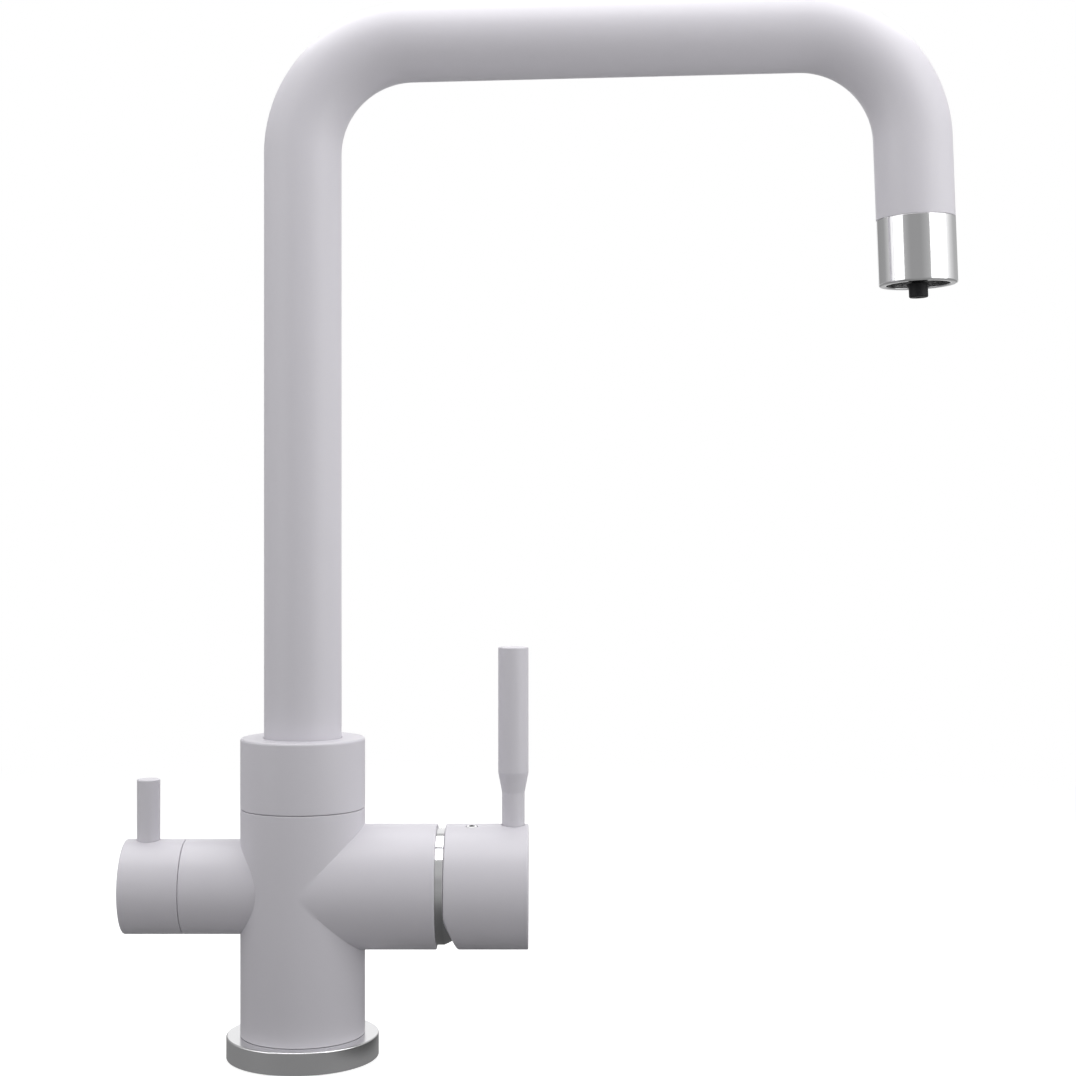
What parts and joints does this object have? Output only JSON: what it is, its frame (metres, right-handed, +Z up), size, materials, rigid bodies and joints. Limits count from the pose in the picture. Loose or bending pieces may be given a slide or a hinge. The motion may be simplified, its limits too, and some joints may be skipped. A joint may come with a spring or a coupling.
{
  "type": "three way filtered water tap",
  "caption": "Tall kitchen tap with a square swivel spout, a side mixer lever, a separate filtered water knob and a clamp for a worktop hole.",
  "frame": {"origin": "where the body's axis meets the top face of the worktop, which is the underside of the base seal", "axes": "+Z up along the body; +X along the mixer arm; the filter arm points along -X; the front, seen in the picture, is -Y"},
  "size_m": [0.2995, 0.055, 0.4453],
  "materials": {
    "white_coat": "matt powder coat, white with a faint lilac grey tint",
    "chrome": "polished plate",
    "brass": "machined",
    "steel": "plain",
    "black_rubber": "matt",
    "black_plastic": "moulded, satin",
    "grey_plastic": "moulded, satin",
    "index_plastic": "white with a dark centre",
    "clear_tube": "drinking water tube, translucent white",
    "ceramic": "lapped"
  },
  "bodies": {
    "root": {"base_ring": "chrome", "base_seal": "black_rubber", "fixing_shank": "brass", "clamp_seal": "black_rubber", "clamp_washer": "steel", "back_nut": "brass", "main_body": "white_coat", "swivel_washer": "grey_plastic", "spout_grub_screw": "steel", "cartridge_port_seal": "black_rubber", "cartridge_base": "grey_plastic", "cartridge_fixed_disc": "ceramic", "cartridge_housing": "grey_plastic", "cartridge_nut": "brass", "trim_ring": "chrome", "filter_seat_seal": "black_rubber", "filter_bonnet": "brass", "filter_fixed_disc": "ceramic"},
    "spout": {"spout_collar": "white_coat", "spout_spigot": "brass", "spigot_o_ring_lower": "black_rubber", "spigot_o_ring_upper": "black_rubber", "spout_tube": "white_coat", "filter_water_tube": "clear_tube", "outlet_sleeve": "brass", "outlet_seal": "black_rubber", "aerator_insert": "black_plastic", "outlet_shell": "chrome", "filter_nozzle": "black_plastic"},
    "mixer_carrier": {"cartridge_carrier": "grey_plastic", "cartridge_pivot_pin": "steel"},
    "mixer_lever": {"cartridge_spindle": "steel", "lever_cap": "white_coat", "lever_rod": "white_coat", "lever_grub_screw": "steel", "index_plug": "index_plastic"},
    "mixer_disc": {"cartridge_moving_disc": "ceramic", "cartridge_disc_driver": "grey_plastic"},
    "filter_lever": {"filter_moving_disc": "ceramic", "filter_stem": "brass", "filter_stem_o_ring": "black_rubber", "filter_knob": "white_coat", "filter_pin": "white_coat"}
  },
  "joints": [
    {"name": "spout_swivel", "type": "hinge", "parent": "root", "child": "spout", "pos_m": [0, 0, 0.0905], "axis": [0, 0, 1], "continuous": true},
    {"name": "mixer_temperature", "type": "hinge", "parent": "root", "child": "mixer_carrier", "pos_m": [0.0434, 0, 0.0616], "axis": [1, 0, 0], "range_deg": [-45, 45]},
    {"name": "mixer_tilt", "type": "hinge", "parent": "mixer_carrier", "child": "mixer_lever", "pos_m": [0.0434, 0, 0.0616], "axis": [0, 1, 0], "range_deg": [0, 18]},
    {"name": "mixer_disc_slide", "type": "slide", "parent": "mixer_carrier", "child": "mixer_disc", "axis": [0, 0, 1], "range_m": [0, 0.0029]},
    {"name": "filter_turn", "type": "hinge", "parent": "root", "child": "filter_lever", "pos_m": [-0.0535, 0, 0.0616], "axis": [1, 0, 0], "range_deg": [0, 90]}
  ],
  "couplings": [
    {"joint": "mixer_disc_slide", "follows": "mixer_tilt", "m_per_rad": 0.00905}
  ]
}
